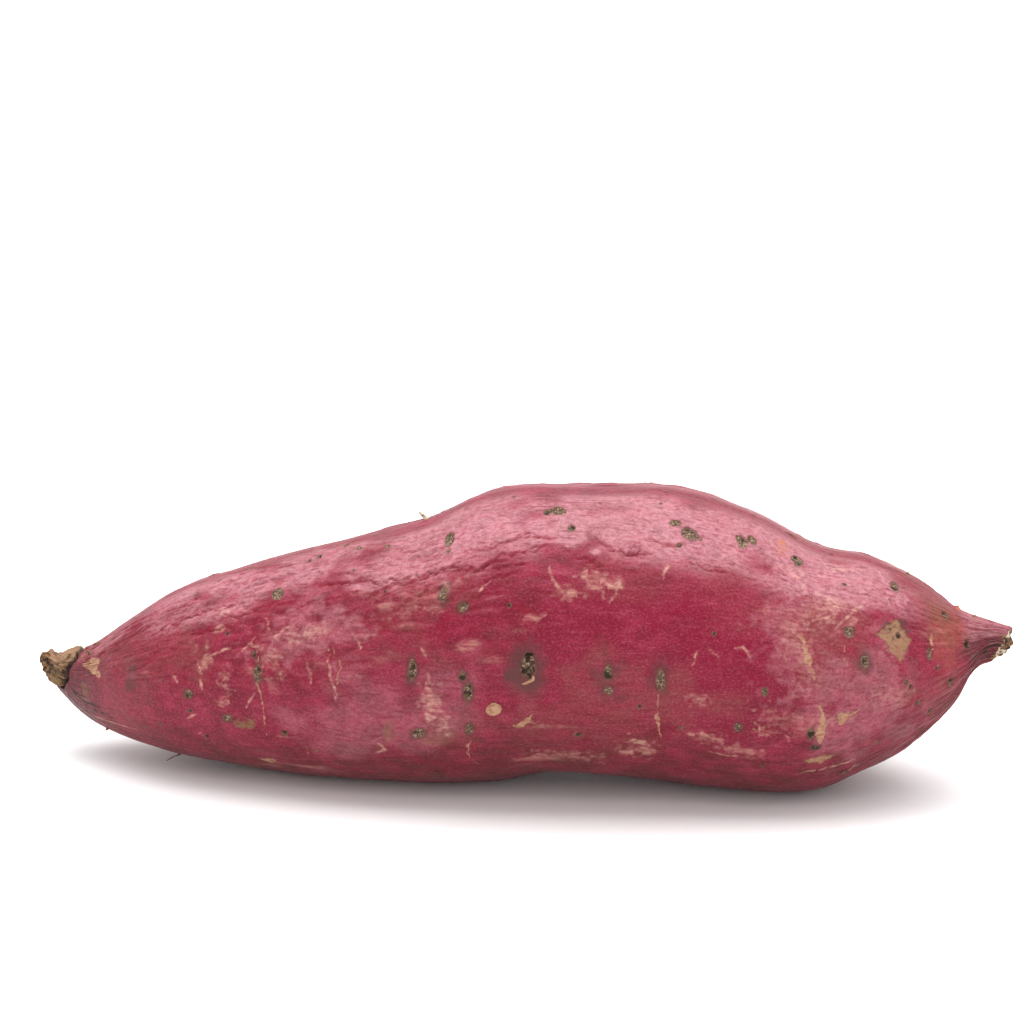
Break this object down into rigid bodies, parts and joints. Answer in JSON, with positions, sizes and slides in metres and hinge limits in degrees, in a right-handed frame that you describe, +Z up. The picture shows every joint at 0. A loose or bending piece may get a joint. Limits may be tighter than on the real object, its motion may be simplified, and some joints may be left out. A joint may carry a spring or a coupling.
{
  "type": "sweet potato",
  "caption": "Whole raw sweet potato with a thin root tip and a short cut vine stem, lying on its side on small flat rest spots.",
  "frame": {"origin": "on the resting plane, at the middle of the root's footprint", "axes": "+X along the root towards the cut vine stem, +Y away from the side the picture shows, +Z up"},
  "size_m": [0.2004, 0.0616, 0.0606],
  "materials": {
    "skin": "matt crimson-pink root skin with a soft sheen, tan and brown corky scars"
  },
  "bodies": {
    "root": {"sweet_potato": "skin"}
  },
  "joints": []
}
